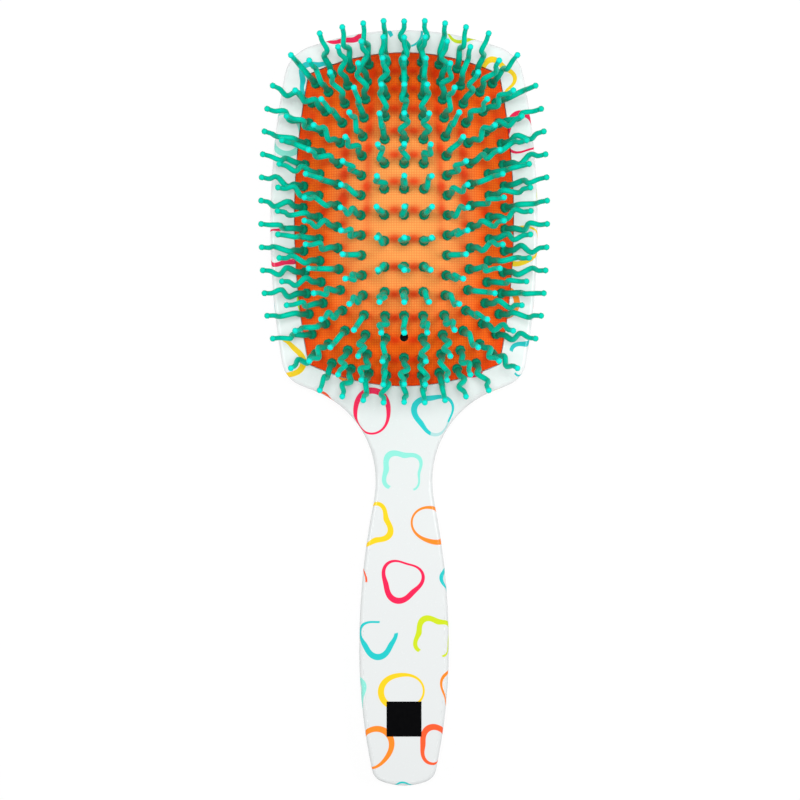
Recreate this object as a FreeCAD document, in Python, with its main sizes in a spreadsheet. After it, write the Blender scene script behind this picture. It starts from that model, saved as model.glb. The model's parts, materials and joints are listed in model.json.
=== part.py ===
"""Paddle hair brush with an air cushion and wavy ball-tipped pins, as a parametric FreeCAD document.

The brush lies on its flat back with its pins pointing up: +Z is out of the cushion, +Y points to the
head's far end and the handle runs towards -Y. The origin is on the flat back, under the middle of
the cushion. All sizes are millimetres and live in the spreadsheet made from SIZES.

A two-shell body holds everything. The front shell has a bowed window. A domed rubber sheet fills the
window, and its flange is clamped between the shell's lip and a retaining frame that stands on the
back shell. Every pin is pushed through the sheet from below: a foot lies under the rubber, a round
collar on top of it, and the wavy shaft ends in a ball.
"""
import FreeCAD, Part
import math
import os

import Sketcher
from FreeCAD import Rotation, Vector

# ---------------------------------------------------------------- driving sizes, one cell each
SIZES = [
    # the head's outline: four bowed sides, each a wide arc, joined by corner arcs
    ("head_top", 61.5),               # cushion centre to the far end of the head
    ("head_bottom", 60.5),            # cushion centre to where the near side's arc would cross X = 0
    ("head_half_width", 43.4),
    ("head_widest", -2.0),            # Y of the widest place
    ("top_bow_radius", 90.0),
    ("side_bow_radius", 260.0),
    ("bottom_bow_radius", 87.0),
    ("head_corner_radius", 12.0),
    ("shoulder_radius", 9.5),
    # the handle's outline
    ("neck_half_width", 9.2),
    ("neck_station", -84.5),          # Y of the narrowest place
    ("neck_lower_radius", 40.0),
    ("handle_half_width", 14.55),
    ("handle_station", -139.0),       # Y of the widest place
    ("handle_lower_radius", 190.0),
    ("handle_end", -183.6),
    ("end_bow_radius", 20.0),
    ("end_corner_radius", 5.0),
    # heights of the stack, from the flat back up
    ("floor_thickness", 2.4),
    ("body_thickness", 13.0),
    ("lip_thickness", 2.0),
    ("flange_thickness", 1.2),
    ("frame_thickness", 2.0),
    ("back_edge_radius", 4.5),
    ("front_edge_radius", 1.3),
    # the window and what is clamped round it
    ("window_half_width", 35.6),
    ("window_half_length", 54.1),
    ("window_corner_across", 31.0),
    ("window_corner_along", 47.0),
    ("seat_margin", 2.6),             # the seat behind the lip is this much wider than the window
    ("ledge_margin", 1.0),            # the back shell's cavity is this much wider than the window
    ("frame_overhang", 0.5),          # the frame reaches this far inside the window's edge
    ("seat_clearance", 0.2),
    # the rubber sheet
    ("dome_height", 12.5),
    ("dome_knee", 0.78),              # share of the half width where the flank turns straight
    ("dome_power", 2.3),
    ("dome_edge_drop", 0.5),          # the sheet leaves the window this far below the rim
    ("sheet_thickness", 1.5),
    ("sheet_wall", 1.6),
    ("inner_dome_drop", 0.8),
    ("vent_radius", 1.1),
    # the pins
    ("pin_length", 22.0),             # rubber to the end of the ball
    ("pin_splay", 1.12),              # the pins lean this much more than the rubber's own normal
    ("foot_radius", 1.6),
    ("foot_thickness", 0.8),
    ("pin_neck_radius", 0.85),
    ("pin_hole_clearance", 0.25),
    ("pin_seat_gap", 0.25),
    ("collar_radius", 1.7),
    ("collar_thickness", 1.1),
    ("collar_round", 0.45),
    ("shaft_base_radius", 1.1),
    ("shaft_end_radius", 0.72),
    ("wave_amplitude", 1.25),
    ("wave_start", 0.2),              # shares of the pin's length
    ("wave_end", 0.82),
    ("ball_radius", 1.0),
    # the handle's inside, its posts and its label
    ("handle_wall", 2.6),
    ("post_radius", 1.6),
    ("post_clearance", 0.15),
    ("socket_wall", 1.4),
    ("post_first", -104.0),
    ("post_pitch", 32.0),
    ("label_side", 11.2),
    ("label_station", -161.8),
    ("label_thickness", 0.5),
    ("label_clearance", 0.1),
]

# one row per lengthwise column of pins, from the middle outwards:
# sideways place, inward bow, reach along the cushion, pins in the column, crowding to its ends
COLUMNS = [
    ("middle", 0.0, 0.0, 50.2, 15, 0.145),
    ("first", 6.24, 0.10, 50.3, 15, 0.145),
    ("second", 13.6, 0.20, 49.5, 17, 0.02),
    ("third", 21.1, 0.24, 48.2, 16, 0.05),
    ("fourth", 27.1, 0.196, 46.4, 15, 0.05),
    ("fifth", 32.3, 0.19, 43.5, 14, 0.04),
]
VENT_ROW = 12                         # the middle column has the vent here in place of a pin

# height bands of the dome: pins in one band sink by nearly the same share of the cushion's travel
BANDS = ["border", "edge", "outer", "middle", "inner", "crown"]
FACES = ["left", "right", "top", "bottom"]

GRID_STEPS = 24                       # spans of the dome's surface each way
POST_COUNT = 3
GOLDEN_TURN = 137.508                 # degrees between the wave planes of one pin and the next
SHAFT_SPANS = 12                      # the wavy shaft is a smooth skin over this many equal spans
SHAFT_ROOT = 0.04                     # share of the pin's length where the shaft leaves the collar
WAVE_PEAK = 0.77                      # largest value of sin(2 pi p) sin(pi p)
PLACE_CORRECTIONS = 30                # corrections that take a plan position back to its shares
SLOPE_STEP = 0.05                     # half the run over which the rubber's slope is taken
SMALL_SHARE = 1e-9
LEVEL_TOLERANCE = 1e-5
CUT_OVERRUN = 1.0                     # cutting tools stick out by this much

doc = FreeCAD.newDocument("paddle_brush")
sheet = doc.addObject("Spreadsheet::Sheet", "sheet")


def fill_sheet():
    """Write every driving size as plain text with its alias."""
    rows = list(SIZES)
    for name, place, bow, reach, count, crowding in COLUMNS:
        rows.append((name + "_column_place", place))
        rows.append((name + "_column_bow", bow))
        rows.append((name + "_column_reach", reach))
        rows.append((name + "_column_pins", count))
        rows.append((name + "_column_crowding", crowding))
    for row, (alias, value) in enumerate(rows, start=1):
        sheet.set("A%d" % row, alias)
        sheet.set("B%d" % row, repr(value))
        sheet.setAlias("B%d" % row, alias)
    doc.recompute()


def size(alias):
    """The value of one cell."""
    return float(sheet.get(alias))


# ---------------------------------------------------------------- plane geometry of the outline
def circles_meet(centre_a, radius_a, centre_b, radius_b, choose):
    """Where two circles cross: choose is max for the crossing with the higher Y and min for the other."""
    across = centre_b - centre_a
    gap = across.Length
    along = (radius_a ** 2 - radius_b ** 2 + gap ** 2) / (2 * gap)
    height = math.sqrt(radius_a ** 2 - along ** 2)
    unit = across / gap
    side = Vector(-unit.y, unit.x, 0)
    crossings = [centre_a + unit * along + side * height, centre_a + unit * along - side * height]
    return choose(crossings, key=lambda point: point.y)


def corner_circle(centre_a, radius_a, centre_b, radius_b, radius, choose):
    """A small circle inside two big ones and touching both: its centre and the two touching points."""
    centre = circles_meet(centre_a, radius_a - radius, centre_b, radius_b - radius, choose)
    touch_a = centre_a + (centre - centre_a) * (radius_a / (radius_a - radius))
    touch_b = centre_b + (centre - centre_b) * (radius_b / (radius_b - radius))
    return centre, touch_a, touch_b


def arc_about(centre, start, end):
    """The short arc from start to end round a centre."""
    radius = (start - centre).Length
    middle = (start + end) / 2 - centre
    return Part.Arc(start, centre + middle * (radius / middle.Length), end)


def mirrored(point):
    return Vector(-point.x, point.y, 0)


def body_outline():
    """The paddle's outline as tangent arcs: head, neck, handle and its rounded end."""
    top = Vector(0, size("head_top") - size("top_bow_radius"), 0)
    side = Vector(size("head_half_width") - size("side_bow_radius"), size("head_widest"), 0)
    bottom = Vector(0, size("bottom_bow_radius") - size("head_bottom"), 0)
    corner, top_touch, side_touch = corner_circle(
        top, size("top_bow_radius"), side, size("side_bow_radius"), size("head_corner_radius"), max)
    shoulder, side_leave, bottom_touch = corner_circle(
        side, size("side_bow_radius"), bottom, size("bottom_bow_radius"), size("shoulder_radius"), min)
    # the neck's upper arc is as wide as it must be to touch both the head and the narrowest place
    drop = bottom.y - size("neck_station")
    neck_radius = (size("neck_half_width") ** 2 + drop ** 2 - size("bottom_bow_radius") ** 2) / (
        2 * (size("bottom_bow_radius") - size("neck_half_width")))
    neck = Vector(size("neck_half_width") + neck_radius, size("neck_station"), 0)
    to_neck = neck - bottom
    neck_touch = bottom + to_neck * (size("bottom_bow_radius") / to_neck.Length)
    narrow = Vector(size("neck_half_width"), size("neck_station"), 0)
    # below the neck a hollow arc runs into the handle's long bulging side
    neck_low = Vector(size("neck_half_width") + size("neck_lower_radius"), size("neck_station"), 0)
    bulge = size("handle_half_width") - size("neck_half_width")
    run = size("neck_station") - size("handle_station")
    handle_radius = (bulge ** 2 + run ** 2) / (2 * bulge) - size("neck_lower_radius")
    handle_upper = Vector(size("handle_half_width") - handle_radius, size("handle_station"), 0)
    to_low = neck_low - handle_upper
    handle_touch = handle_upper + to_low * (handle_radius / to_low.Length)
    widest = Vector(size("handle_half_width"), size("handle_station"), 0)
    handle_lower = Vector(
        size("handle_half_width") - size("handle_lower_radius"), size("handle_station"), 0)
    end = Vector(0, size("handle_end") + size("end_bow_radius"), 0)
    end_corner, handle_leave, end_touch = corner_circle(
        handle_lower, size("handle_lower_radius"), end, size("end_bow_radius"),
        size("end_corner_radius"), min)
    if end_corner.y > end.y:
        raise ValueError("the handle's end arc is wider than the handle")
    stretches = [
        (corner, top_touch, side_touch),
        (side, side_touch, side_leave),
        (shoulder, side_leave, bottom_touch),
        (bottom, bottom_touch, neck_touch),
        (neck, neck_touch, narrow),
        (neck_low, narrow, handle_touch),
        (handle_upper, handle_touch, widest),
        (handle_lower, widest, handle_leave),
        (end_corner, handle_leave, end_touch),
    ]
    arcs = [arc_about(centre, start, finish) for centre, start, finish in stretches]
    arcs.append(arc_about(end, end_touch, mirrored(end_touch)))
    for centre, start, finish in reversed(stretches):
        arcs.append(arc_about(mirrored(centre), mirrored(finish), mirrored(start)))
    arcs.append(arc_about(top, mirrored(top_touch), top_touch))
    return arcs


# ---------------------------------------------------------------- sketches
def origin_plane(body, role):
    """One of the body's own origin planes."""
    return next(plane for plane in body.Origin.OriginFeatures if plane.Role == role)


def new_sketch(body, name):
    """An empty sketch on the body's XY plane."""
    sketch = body.newObject("Sketcher::SketchObject", name)
    sketch.AttachmentSupport = [(origin_plane(body, "XY_Plane"), "")]
    sketch.MapMode = "FlatFace"
    return sketch


def place_sketch(sketch, level):
    """Lift a sketch off the flat back to a level given as an expression."""
    sketch.setExpression("AttachmentOffset.Base.z", level)


def outline_sketch(body, name):
    """The paddle's outline."""
    sketch = new_sketch(body, name)
    sketch.addGeometry(body_outline(), False)
    return sketch


def constrain(sketch, fixed, bound):
    """Add all constraints in one step, then tie the bound ones to the sheet by their expressions."""
    first = len(fixed)
    sketch.addConstraint(fixed + [constraint for constraint, expression in bound])
    for index, (constraint, expression) in enumerate(bound):
        sketch.setExpression("Constraints[%d]" % (first + index), expression)


def window_sketch(body, name, margin):
    """The window's four bowed sides, moved out by margin, which is an expression."""
    grow = sheet_value(margin)
    half_width = size("window_half_width") + grow
    half_length = size("window_half_length") + grow
    across = size("window_corner_across") + grow
    along = size("window_corner_along") + grow
    corners = [Vector(across, -along, 0), Vector(across, along, 0),
               Vector(-across, along, 0), Vector(-across, -along, 0)]
    middles = [Vector(half_width, 0, 0), Vector(0, half_length, 0),
               Vector(-half_width, 0, 0), Vector(0, -half_length, 0)]
    signs = [("", "-"), ("", ""), ("-", ""), ("-", "-")]
    sketch = new_sketch(body, name)
    fixed = []
    bound = []
    for index, (sign_x, sign_y) in enumerate(signs):
        following = (index + 1) % 4
        start = corners[index]
        sketch.addGeometry(Part.Arc(start, middles[index], corners[following]), False)
        fixed.append(Sketcher.Constraint("Coincident", index, 2, following, 1))
        bound.append((Sketcher.Constraint("DistanceX", -1, 1, index, 1, start.x),
                      "%s(sheet.window_corner_across + %s)" % (sign_x, margin)))
        bound.append((Sketcher.Constraint("DistanceY", -1, 1, index, 1, start.y),
                      "%s(sheet.window_corner_along + %s)" % (sign_y, margin)))
    side_sag = "(sheet.window_half_width - sheet.window_corner_across)"
    end_sag = "(sheet.window_half_length - sheet.window_corner_along)"
    radius = "((%s + %s)^2 + %s^2) / (2 * %s)"
    side_radius = radius % ("sheet.window_corner_along", margin, side_sag, side_sag)
    end_radius = radius % ("sheet.window_corner_across", margin, end_sag, end_sag)
    for index, expression in enumerate([side_radius, end_radius, side_radius, end_radius]):
        bound.append((Sketcher.Constraint("Radius", index, sheet_value(expression)), expression))
    constrain(sketch, fixed, bound)
    return sketch


def sheet_value(expression):
    """The number an expression over the sheet's cells gives."""
    return float(sheet.evalExpression(expression.replace("sheet.", "")))


def round_sketch(body, name, places, radius):
    """A row of circles on the Y axis: places and radius are expressions."""
    sketch = new_sketch(body, name)
    fixed = []
    bound = []
    for index, place in enumerate(places):
        centre = Vector(0, sheet_value(place), 0)
        sketch.addGeometry(Part.Circle(centre, Vector(0, 0, 1), sheet_value(radius)), False)
        fixed.append(Sketcher.Constraint("PointOnObject", index, 3, -2))
        bound.append((Sketcher.Constraint("DistanceY", -1, 1, index, 3, centre.y), place))
        bound.append((Sketcher.Constraint("Radius", index, sheet_value(radius)), radius))
    constrain(sketch, fixed, bound)
    return sketch


def square_sketch(body, name, middle, side):
    """A square centred on the Y axis: middle and side are expressions."""
    sketch = new_sketch(body, name)
    half = sheet_value(side) / 2
    station = sheet_value(middle)
    corners = [Vector(-half, station - half, 0), Vector(half, station - half, 0),
               Vector(half, station + half, 0), Vector(-half, station + half, 0)]
    for index in range(4):
        sketch.addGeometry(Part.LineSegment(corners[index], corners[(index + 1) % 4]), False)
    fixed = [Sketcher.Constraint("Coincident", index, 2, (index + 1) % 4, 1) for index in range(4)]
    fixed += [Sketcher.Constraint("Horizontal", index) for index in (0, 2)]
    fixed += [Sketcher.Constraint("Vertical", index) for index in (1, 3)]
    bound = [
        (Sketcher.Constraint("DistanceX", 0, 1, 0, 2, 2 * half), side),
        (Sketcher.Constraint("DistanceY", 1, 1, 1, 2, 2 * half), side),
        (Sketcher.Constraint("DistanceX", -1, 1, 0, 1, -half), "-(%s) / 2" % side),
        (Sketcher.Constraint("DistanceY", -1, 1, 0, 1, station - half), "%s - (%s) / 2" % (middle, side)),
    ]
    constrain(sketch, fixed, bound)
    return sketch


def handle_hollow_sketch(body, name):
    """The handle's inside: straight tapered sides one wall in from the outline, round at both ends."""
    wall = size("handle_wall")
    high = Vector(0, size("neck_station") - size("neck_half_width"), 0)
    low = Vector(0, size("handle_end") + size("end_bow_radius"), 0)
    middle = Vector(size("handle_half_width") - wall, size("handle_station"), 0)
    high_corner = Vector(size("neck_half_width") - wall, high.y, 0)
    low_corner = Vector(size("neck_half_width") - wall, low.y, 0)
    sketch = new_sketch(body, name)
    left_middle = mirrored(middle)
    cap_high = Vector(0, high.y + high_corner.x, 0)
    cap_low = Vector(0, low.y - low_corner.x, 0)
    sketch.addGeometry([
        Part.LineSegment(high_corner, middle),
        Part.LineSegment(middle, low_corner),
        Part.Arc(low_corner, cap_low, mirrored(low_corner)),
        Part.LineSegment(mirrored(low_corner), left_middle),
        Part.LineSegment(left_middle, mirrored(high_corner)),
        Part.Arc(mirrored(high_corner), cap_high, high_corner),
    ], False)
    return sketch


# ---------------------------------------------------------------- features
def pad(body, sketch, length):
    """Pad a sketch upwards by a length given as an expression."""
    feature = body.newObject("PartDesign::Pad", sketch.Name + "_pad")
    feature.Profile = sketch
    feature.setExpression("Length", length)
    sketch.Visibility = False
    return feature


def pocket(body, sketch, depth):
    """Cut upwards from a sketch by a depth given as an expression, and make sure that it cut."""
    doc.recompute()
    before = body.Shape.Volume
    feature = body.newObject("PartDesign::Pocket", sketch.Name + "_pocket")
    feature.Profile = sketch
    feature.Reversed = True
    feature.setExpression("Length", depth)
    doc.recompute()
    if body.Shape.Volume >= before:
        raise RuntimeError(feature.Name + " cut nothing")
    return feature


def lies_at(edge, level):
    """Whether an edge lies flat at one height."""
    box = edge.BoundBox
    return abs(box.ZMin - level) < LEVEL_TOLERANCE and abs(box.ZMax - level) < LEVEL_TOLERANCE


def round_edges(body, base, level, radius):
    """Fillet all edges of the base feature at one height."""
    doc.recompute()
    numbered = enumerate(base.Shape.Edges, start=1)
    names = ["Edge%d" % number for number, edge in numbered if lies_at(edge, level)]
    feature = body.newObject("PartDesign::Fillet", base.Name + "_round")
    feature.Base = (base, names)
    feature.setExpression("Radius", radius)
    return feature


# ---------------------------------------------------------------- levels of the stack
RIM = "sheet.body_thickness"
LIP_UNDER = "sheet.body_thickness - sheet.lip_thickness"
FRAME_TOP = LIP_UNDER + " - sheet.flange_thickness"
SPLIT = FRAME_TOP + " - sheet.frame_thickness"
POST_PLACES = ["sheet.post_first - %d * sheet.post_pitch" % index for index in range(POST_COUNT)]


def new_body(label):
    body = doc.addObject("PartDesign::Body", label)
    body.Label = label
    return body


def make_back_shell():
    """The smooth back half: a tray with a head cavity, a handle cavity and three posts."""
    body = new_body("back_shell")
    outer = pad(body, outline_sketch(body, "back_outline"), SPLIT)
    round_edges(body, outer, 0.0, "sheet.back_edge_radius")
    head = window_sketch(body, "back_head_cavity", "sheet.ledge_margin")
    place_sketch(head, "sheet.floor_thickness")
    pocket(body, head, SPLIT)
    handle = handle_hollow_sketch(body, "back_handle_cavity")
    place_sketch(handle, "sheet.floor_thickness")
    pocket(body, handle, SPLIT)
    posts = round_sketch(body, "posts", POST_PLACES, "sheet.post_radius")
    place_sketch(posts, "sheet.floor_thickness / 2")
    pad(body, posts, "(%s + sheet.body_thickness - sheet.floor_thickness) / 2" % SPLIT)
    return body


def make_front_shell():
    """The front half: the lip round the window, the seat behind it and sockets for the posts."""
    body = new_body("front_shell")
    outline = outline_sketch(body, "front_outline")
    place_sketch(outline, SPLIT)
    outer = pad(body, outline, "sheet.body_thickness - (%s)" % SPLIT)
    round_edges(body, outer, size("body_thickness"), "sheet.front_edge_radius")
    window = window_sketch(body, "window", "0")
    place_sketch(window, SPLIT)
    pocket(body, window, "sheet.body_thickness")
    seat = window_sketch(body, "seat", "sheet.seat_margin")
    place_sketch(seat, SPLIT)
    pocket(body, seat, "%s - (%s)" % (LIP_UNDER, SPLIT))
    handle = handle_hollow_sketch(body, "front_handle_cavity")
    place_sketch(handle, SPLIT)
    pocket(body, handle, "sheet.body_thickness - sheet.floor_thickness - (%s)" % SPLIT)
    sockets = round_sketch(body, "sockets", POST_PLACES,
                           "sheet.post_radius + sheet.post_clearance + sheet.socket_wall")
    place_sketch(sockets, SPLIT)
    pad(body, sockets, "sheet.body_thickness - sheet.floor_thickness / 2 - (%s)" % SPLIT)
    bores = round_sketch(body, "socket_bores", POST_PLACES, "sheet.post_radius + sheet.post_clearance")
    place_sketch(bores, SPLIT)
    pocket(body, bores, "sheet.body_thickness - sheet.floor_thickness - (%s)" % SPLIT)
    recess = square_sketch(body, "label_recess", "sheet.label_station",
                           "sheet.label_side + 2 * sheet.label_clearance")
    place_sketch(recess, "sheet.body_thickness - sheet.label_thickness")
    pocket(body, recess, "sheet.label_thickness + sheet.front_edge_radius")
    return body


def make_cushion_frame():
    """The ring that clamps the rubber's flange against the lip; it stands on the back shell's ledge."""
    body = new_body("cushion_frame")
    outer = window_sketch(body, "frame_outer", "sheet.seat_margin - sheet.seat_clearance")
    place_sketch(outer, SPLIT)
    pad(body, outer, "sheet.frame_thickness")
    inner = window_sketch(body, "frame_inner", "-sheet.frame_overhang")
    place_sketch(inner, SPLIT)
    pocket(body, inner, "2 * sheet.frame_thickness")
    return body


def make_label():
    """A blank square badge set flush in the handle."""
    body = new_body("handle_badge")
    square = square_sketch(body, "badge_outline", "sheet.label_station", "sheet.label_side")
    place_sketch(square, "sheet.body_thickness - sheet.label_thickness")
    pad(body, square, "sheet.label_thickness")
    return body


# ---------------------------------------------------------------- the dome of the rubber sheet
def flank(share):
    """How far the dome has fallen at a share of its half width: a curve, then a straight flank."""
    knee = size("dome_knee")
    power = size("dome_power")
    share = abs(share)
    whole = knee / power + 1 - knee
    if share < knee:
        return knee / power * (share / knee) ** power / whole
    return (knee / power + share - knee) / whole


def dome_rise(across, along):
    """Share of the dome's height: the two flanks meet in soft hips and reach 0 all round the edge."""
    side = max(1 - flank(across), SMALL_SHARE)
    end = max(1 - flank(along), SMALL_SHARE)
    return (side ** -2 + end ** -2 - 1) ** -0.5


def bowed_place(across, along, inset):
    """Plan position for shares -1..1 across and along the window, its edge moved in by inset."""
    half_width = size("window_half_width") - inset
    half_length = size("window_half_length") - inset
    side_bow = 1 - (size("window_corner_across") - inset) / half_width
    end_bow = 1 - (size("window_corner_along") - inset) / half_length
    x = across * half_width * (1 - side_bow * along ** 2)
    y = along * half_length * (1 - end_bow * across ** 2)
    return x, y


def dome_shares(x, y, inset):
    """The inverse of bowed_place, by repeated correction."""
    across, along = 0.0, 0.0
    for _ in range(PLACE_CORRECTIONS):
        at_x, at_y = bowed_place(across, along, inset)
        across += (x - at_x) / size("window_half_width")
        along += (y - at_y) / size("window_half_length")
    return across, along


def edge_level():
    """Height at which the sheet leaves the window."""
    return size("body_thickness") - size("dome_edge_drop")


def rubber_height(x, y):
    """Height of the rubber's outer face."""
    across, along = dome_shares(x, y, size("seat_clearance"))
    return edge_level() + size("dome_height") * dome_rise(across, along)


def rubber_slope(x, y):
    """Slope of the outer face along X and along Y."""
    step = SLOPE_STEP
    along_x = (rubber_height(x + step, y) - rubber_height(x - step, y)) / (2 * step)
    along_y = (rubber_height(x, y + step) - rubber_height(x, y - step)) / (2 * step)
    return along_x, along_y


def dome_face(inset, base, height):
    """A smooth face over the bowed plan, flat at its edge."""
    rows = []
    for i in range(GRID_STEPS + 1):
        across = math.sin(math.pi * (i / GRID_STEPS - 0.5))
        row = []
        for j in range(GRID_STEPS + 1):
            along = math.sin(math.pi * (j / GRID_STEPS - 0.5))
            x, y = bowed_place(across, along, inset)
            row.append(Vector(x, y, base + height * dome_rise(across, along)))
        rows.append(row)
    surface = Part.BSplineSurface()
    surface.interpolate(rows)
    return surface.toShape()


def dome_block(inset, base, height, foot):
    """The solid under a dome face, with straight sides from its edge down to foot."""
    face = dome_face(inset, base, height)
    rim = Part.Wire(Part.__sortEdges__(face.Edges))
    drop = Vector(0, 0, foot - base)
    walls = [edge.extrude(drop) for edge in rim.Edges]
    floor = Part.Face(Part.Wire(Part.__sortEdges__([edge.translated(drop) for edge in rim.Edges])))
    shell = Part.Shell([face, floor] + walls)
    solid = Part.Solid(shell)
    if solid.Volume < 0:
        solid.reverse()
    return solid


def flange_plate(inset, low, thickness):
    """A flat plate with the window's bowed outline."""
    corners = [(1, 1), (1, -1), (-1, -1), (-1, 1)]
    middles = [(1, 0), (0, -1), (-1, 0), (0, 1)]
    edges = []
    for index in range(4):
        points = [corners[index], middles[index], corners[(index + 1) % 4]]
        places = [bowed_place(across, along, inset) for across, along in points]
        arc = Part.Arc(*[Vector(x, y, low) for x, y in places])
        edges.append(arc.toShape())
    return Part.Face(Part.Wire(edges)).extrude(Vector(0, 0, thickness))


def make_cushion(pins):
    """The domed rubber sheet with its flange, one hole for each pin and the vent."""
    inset = size("seat_clearance")
    under = size("body_thickness") - size("lip_thickness")
    flange_low = under - size("flange_thickness")
    outer = dome_block(inset, edge_level(), size("dome_height"), flange_low)
    flange = flange_plate(inset - size("seat_margin") + size("seat_clearance"), flange_low,
                          size("flange_thickness"))
    inner_base = edge_level() - size("inner_dome_drop")
    inner_height = size("dome_height") + size("inner_dome_drop") - size("sheet_thickness")
    inner = dome_block(inset + size("sheet_wall"), inner_base, inner_height, flange_low - CUT_OVERRUN)
    rubber = outer.fuse(flange).cut(inner)
    reach = size("sheet_thickness") + CUT_OVERRUN + size("foot_thickness")
    cutters = []
    for pin in pins:
        radius = size("vent_radius") if pin["vent"] else size("pin_neck_radius") + size("pin_hole_clearance")
        start = pin["base"] - pin["lean"] * reach
        cutters.append(Part.makeCylinder(radius, reach + CUT_OVERRUN, start, pin["lean"]))
    rubber = rubber.cut(cutters)
    solids = rubber.Solids
    if len(solids) != 1:
        raise RuntimeError("the cushion came out as %d solids" % len(solids))
    feature = doc.addObject("Part::Feature", "cushion")
    feature.Shape = solids[0]
    feature.Label = "cushion"
    return feature


# ---------------------------------------------------------------- the pins
def pin_places():
    """Base point, lean and band of every pin, column by column, and of the vent."""
    pins = []
    for number, column in enumerate(COLUMNS):
        name = column[0]
        count = int(size(name + "_column_pins"))
        crowding = size(name + "_column_crowding")
        for side in ((1,) if number == 0 else (-1, 1)):
            for row in range(count):
                share = 1 - 2 * row / (count - 1)
                y = size(name + "_column_reach") * share * (1 + crowding - crowding * share ** 2)
                bow = size(name + "_column_bow") * (y / size("window_half_length")) ** 2
                x = side * size(name + "_column_place") * (1 - bow)
                vent = number == 0 and row == VENT_ROW
                pins.append(place_pin(x, y, vent, len(pins)))
    return pins


def place_pin(x, y, vent, index):
    """One pin standing on the rubber, leaning a little more than the rubber does."""
    slope_x, slope_y = rubber_slope(x, y)
    splay = size("pin_splay")
    normal = Vector(-slope_x, -slope_y, 1).normalize()
    lean = Vector(-slope_x * splay, -slope_y * splay, 1).normalize()
    surface = Vector(x, y, rubber_height(x, y))
    rise = (surface.z - edge_level()) / size("dome_height")
    band = min(int(rise * len(BANDS)), len(BANDS) - 1)
    if abs(slope_x) > abs(slope_y):
        face = "left" if x < 0 else "right"
    else:
        face = "bottom" if y < 0 else "top"
    return {
        "base": surface + normal * size("pin_seat_gap"),
        "lean": lean,
        "rise": rise,
        "band": BANDS[band],
        "face": face,
        "vent": vent,
        "turn": index * GOLDEN_TURN,
    }


def wave(share):
    """Sideways place of the shaft's middle at a share of the pin's length: one S, straight at both ends."""
    phase = (share - size("wave_start")) / (size("wave_end") - size("wave_start"))
    if not 0 < phase < 1:
        return 0.0
    return size("wave_amplitude") * math.sin(2 * math.pi * phase) * math.sin(math.pi * phase) / WAVE_PEAK


def pin_shape():
    """One pin along +Z, with the rubber's face at 0: foot, neck, round collar, wavy shaft and ball."""
    length = size("pin_length")
    gap = size("sheet_thickness") + 2 * size("pin_seat_gap")
    foot = Part.makeCylinder(size("foot_radius"), size("foot_thickness"),
                             Vector(0, 0, -gap - size("foot_thickness")))
    neck = Part.makeCylinder(size("pin_neck_radius"), gap + size("collar_round"), Vector(0, 0, -gap))
    collar = Part.makeCylinder(size("collar_radius"), size("collar_thickness"))
    rim = [edge for edge in collar.Edges if lies_at(edge, size("collar_thickness"))]
    collar = collar.makeFillet(size("collar_round"), rim)
    circles = []
    ball_share = 1 - size("ball_radius") / length
    for station in range(SHAFT_SPANS + 1):
        share = SHAFT_ROOT + (ball_share - SHAFT_ROOT) * station / SHAFT_SPANS
        taper = share / ball_share
        radius = size("shaft_base_radius") * (1 - taper) + size("shaft_end_radius") * taper
        centre = Vector(wave(share), 0, share * length)
        circles.append(Part.Wire(Part.makeCircle(radius, centre, Vector(0, 0, 1))))
    shaft = Part.makeLoft(circles, True, False)
    ball = Part.makeSphere(size("ball_radius"), Vector(0, 0, length - size("ball_radius")))
    solids = foot.multiFuse([neck, collar, shaft, ball]).Solids
    if len(solids) != 1:
        raise RuntimeError("the pin came out as %d solids" % len(solids))
    return solids[0]


def make_pins(pins):
    """All pins of one band and one face of the dome as one node, for each that has any."""
    prototype = pin_shape()
    made = []
    for band in BANDS:
        for face in FACES:
            group = [pin for pin in pins if pin["band"] == band and pin["face"] == face and not pin["vent"]]
            if not group:
                continue
            copies = []
            for pin in group:
                upright = Rotation(Vector(0, 0, 1), pin["turn"])
                leaning = Rotation(Vector(0, 0, 1), pin["lean"])
                placed = prototype.copy()
                placed.Placement = FreeCAD.Placement(pin["base"], leaning.multiply(upright))
                copies.append(placed)
            label = "pins_%s_%s" % (band, face)
            feature = doc.addObject("Part::Feature", label)
            feature.Shape = Part.makeCompound(copies)
            feature.Label = label
            made.append(feature)
    return made


# ---------------------------------------------------------------- build, check and write
def check_document(nodes):
    """Stop if any object failed or any sub-part has no sound shape."""
    for item in doc.Objects:
        if "Invalid" in item.State or "Error" in item.State:
            raise RuntimeError("%s failed: %s" % (item.Name, item.State))
    for node in nodes:
        if node.Shape.isNull() or not node.Shape.isValid():
            raise RuntimeError(node.Label + " has no sound shape")


def main():
    fill_sheet()
    pins = pin_places()
    nodes = [make_back_shell(), make_front_shell(), make_cushion_frame(), make_label(), make_cushion(pins)]
    nodes += make_pins(pins)
    doc.recompute()
    check_document(nodes)
    os.makedirs("parts", exist_ok=True)
    for node in nodes:
        node.Shape.exportStep(os.path.join("parts", node.Label + ".step"))
        print("%-26s %4d solids %10.1f mm3" % (node.Label, len(node.Shape.Solids), node.Shape.Volume))
    print("pins:", sum(not pin["vent"] for pin in pins))
    for band in BANDS:
        rises = [pin["rise"] for pin in pins if pin["band"] == band and not pin["vent"]]
        print("band %-7s %3d pins, mean rise %.4f" % (band, len(rises), sum(rises) / len(rises)))


main()
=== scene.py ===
# %% [markdown]
# # Dressing a paddle hair brush
# The brush lies on its back with its pins up. It has a white gloss body in two halves, a domed
# rubber cushion clamped in a window of the head, and 168 nylon pins with a double bend and a ball
# at the end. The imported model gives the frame: where everything is, how large it is and what moves.
# Every visible surface that is added here is a small formula worked out with numpy arrays. It could
# also be drawn by hand in the editor, but a formula is easy to read, it has no stray points, and one
# number changes it everywhere.

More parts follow.
